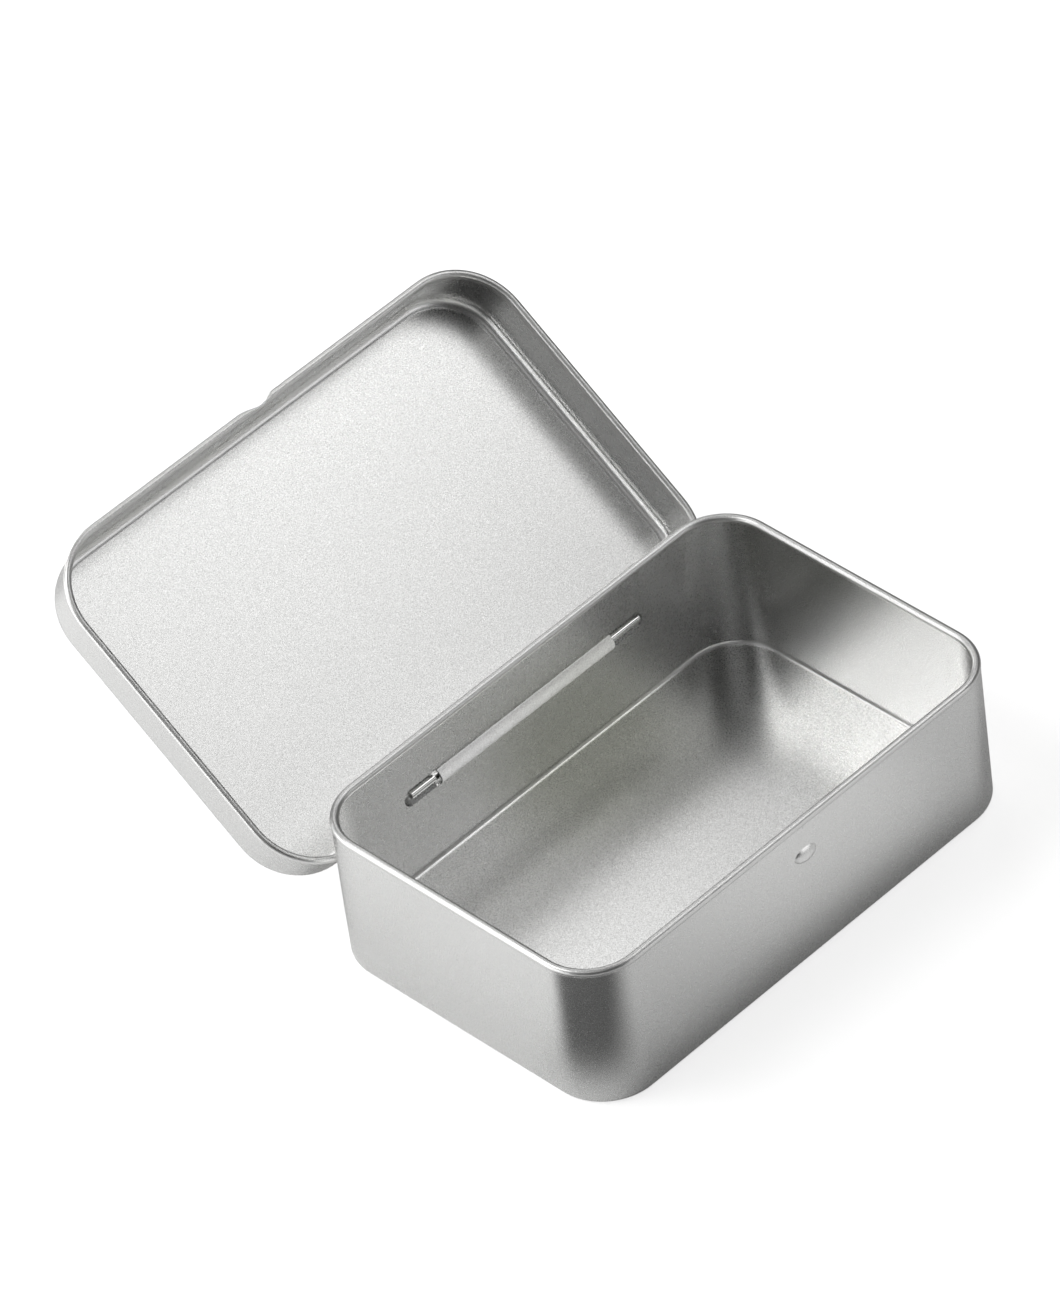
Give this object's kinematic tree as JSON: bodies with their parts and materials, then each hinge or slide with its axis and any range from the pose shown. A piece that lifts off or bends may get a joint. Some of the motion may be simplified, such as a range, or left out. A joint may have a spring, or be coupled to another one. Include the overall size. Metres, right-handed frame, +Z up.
{
  "type": "hinged tin box",
  "caption": "Empty hinged slip-lid tin in bare satin tinplate, a drawn tray with a rolled rim and a drawn lid on a wire hinge, modelled standing open.",
  "frame": {"origin": "middle of the tray's flat underside", "axes": "+X along the hinge and the tin's length, +Y from the front wall to the hinged back wall, +Z up"},
  "size_m": [0.1148, 0.1412, 0.061],
  "materials": {
    "tinplate": "satin, fine stone-finish grain",
    "hinge_wire": "bright drawn steel wire"
  },
  "bodies": {
    "tray": {"tray": "tinplate", "hinge_wire": "hinge_wire"},
    "lid": {"lid": "tinplate"}
  },
  "joints": [
    {"name": "lid_hinge", "type": "hinge", "parent": "tray", "child": "lid", "pos_m": [0.0004, 0.03633, 0.0191], "axis": [1, 0, 0], "range_deg": [0, 144]}
  ]
}
